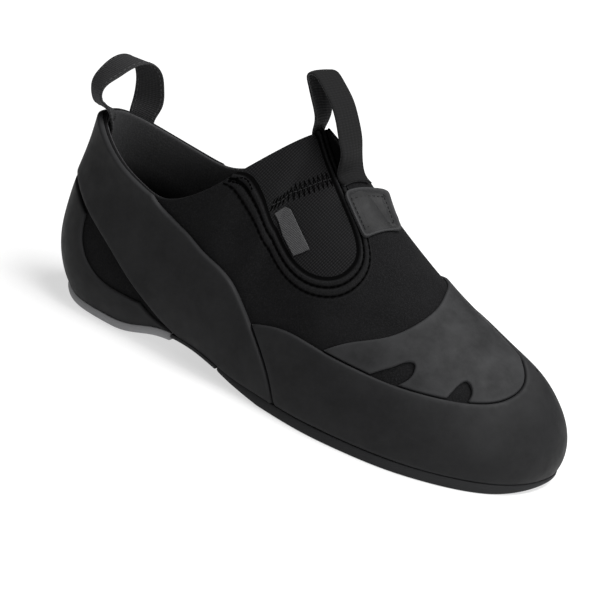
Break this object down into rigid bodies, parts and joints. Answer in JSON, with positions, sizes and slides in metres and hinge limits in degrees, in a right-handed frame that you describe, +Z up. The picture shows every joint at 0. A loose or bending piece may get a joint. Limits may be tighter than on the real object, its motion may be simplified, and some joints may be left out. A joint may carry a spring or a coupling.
{
  "type": "climbing shoe",
  "caption": "Slip-on climbing shoe for the right foot: stretch upper with elastic gores, rubber rand, heel strap and cup, flat sole and two pull loops.",
  "frame": {"origin": "middle of the shoe's whole box, on the floor that it stands on", "axes": "+X from heel to toe, +Y to the inner (big toe) side, +Z up"},
  "size_m": [0.2568, 0.09, 0.1344],
  "materials": {
    "stretch_fabric": "matte foamed stretch fabric with a fine grain",
    "elastic": "ribbed woven elastic",
    "rubber": "smooth satin rubber",
    "patch_rubber": "thin mottled rubber",
    "sole_rubber": "smooth satin rubber with ground edges",
    "heel_rubber": "matte grey rubber",
    "insole_board": "felt",
    "moulded_badge": "moulded satin rubber",
    "tag": "smooth woven tag",
    "webbing": "ribbed webbing"
  },
  "bodies": {
    "root": {"upper": "stretch_fabric", "gore_outer": "elastic", "gore_inner": "elastic", "strap": "rubber", "heel_cup": "rubber", "toe_rand": "rubber", "toe_patch": "patch_rubber", "outsole": "sole_rubber", "heel_sole": "heel_rubber", "arch_rubber": "rubber", "insole": "insole_board", "badge": "moulded_badge", "side_tag": "tag", "front_pull_loop": "webbing", "heel_pull_loop": "webbing"}
  },
  "joints": []
}
